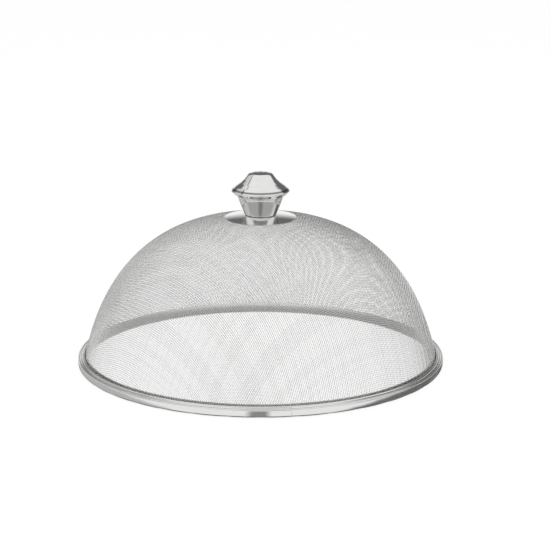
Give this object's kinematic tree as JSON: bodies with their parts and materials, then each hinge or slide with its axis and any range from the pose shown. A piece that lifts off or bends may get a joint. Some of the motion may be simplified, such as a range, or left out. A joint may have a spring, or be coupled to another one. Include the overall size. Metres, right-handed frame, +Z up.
{
  "type": "buffet food cover dome",
  "caption": "Dome of woven stainless wire mesh with a rolled steel rim and a hollow two-part steel knob on a polished crown plate, set over food on a buffet.",
  "frame": {"origin": "Centre of the rim's foot ring, on the surface that the cover stands on", "axes": "+Z up along the axis of the dome and knob, -Y towards the viewer of the picture, +X to the viewer's right"},
  "size_m": [0.3, 0.3, 0.158],
  "materials": {
    "mesh_wire": "bright drawn stainless wire",
    "rim_steel": "bright rolled stainless strip",
    "polished_steel": "mirror-polished stainless sheet",
    "knob_steel": "polished spun stainless sheet",
    "hidden_steel": "plain stainless steel"
  },
  "bodies": {
    "root": {"warp_wires": "mesh_wire", "weft_wires": "mesh_wire", "rim_band": "rim_steel", "rim_hoop": "hidden_steel", "crown_plate": "polished_steel", "backing_plate": "hidden_steel", "knob_cup": "knob_steel", "knob_cap": "knob_steel", "knob_insert": "hidden_steel", "clamp_screw": "hidden_steel"}
  },
  "joints": []
}
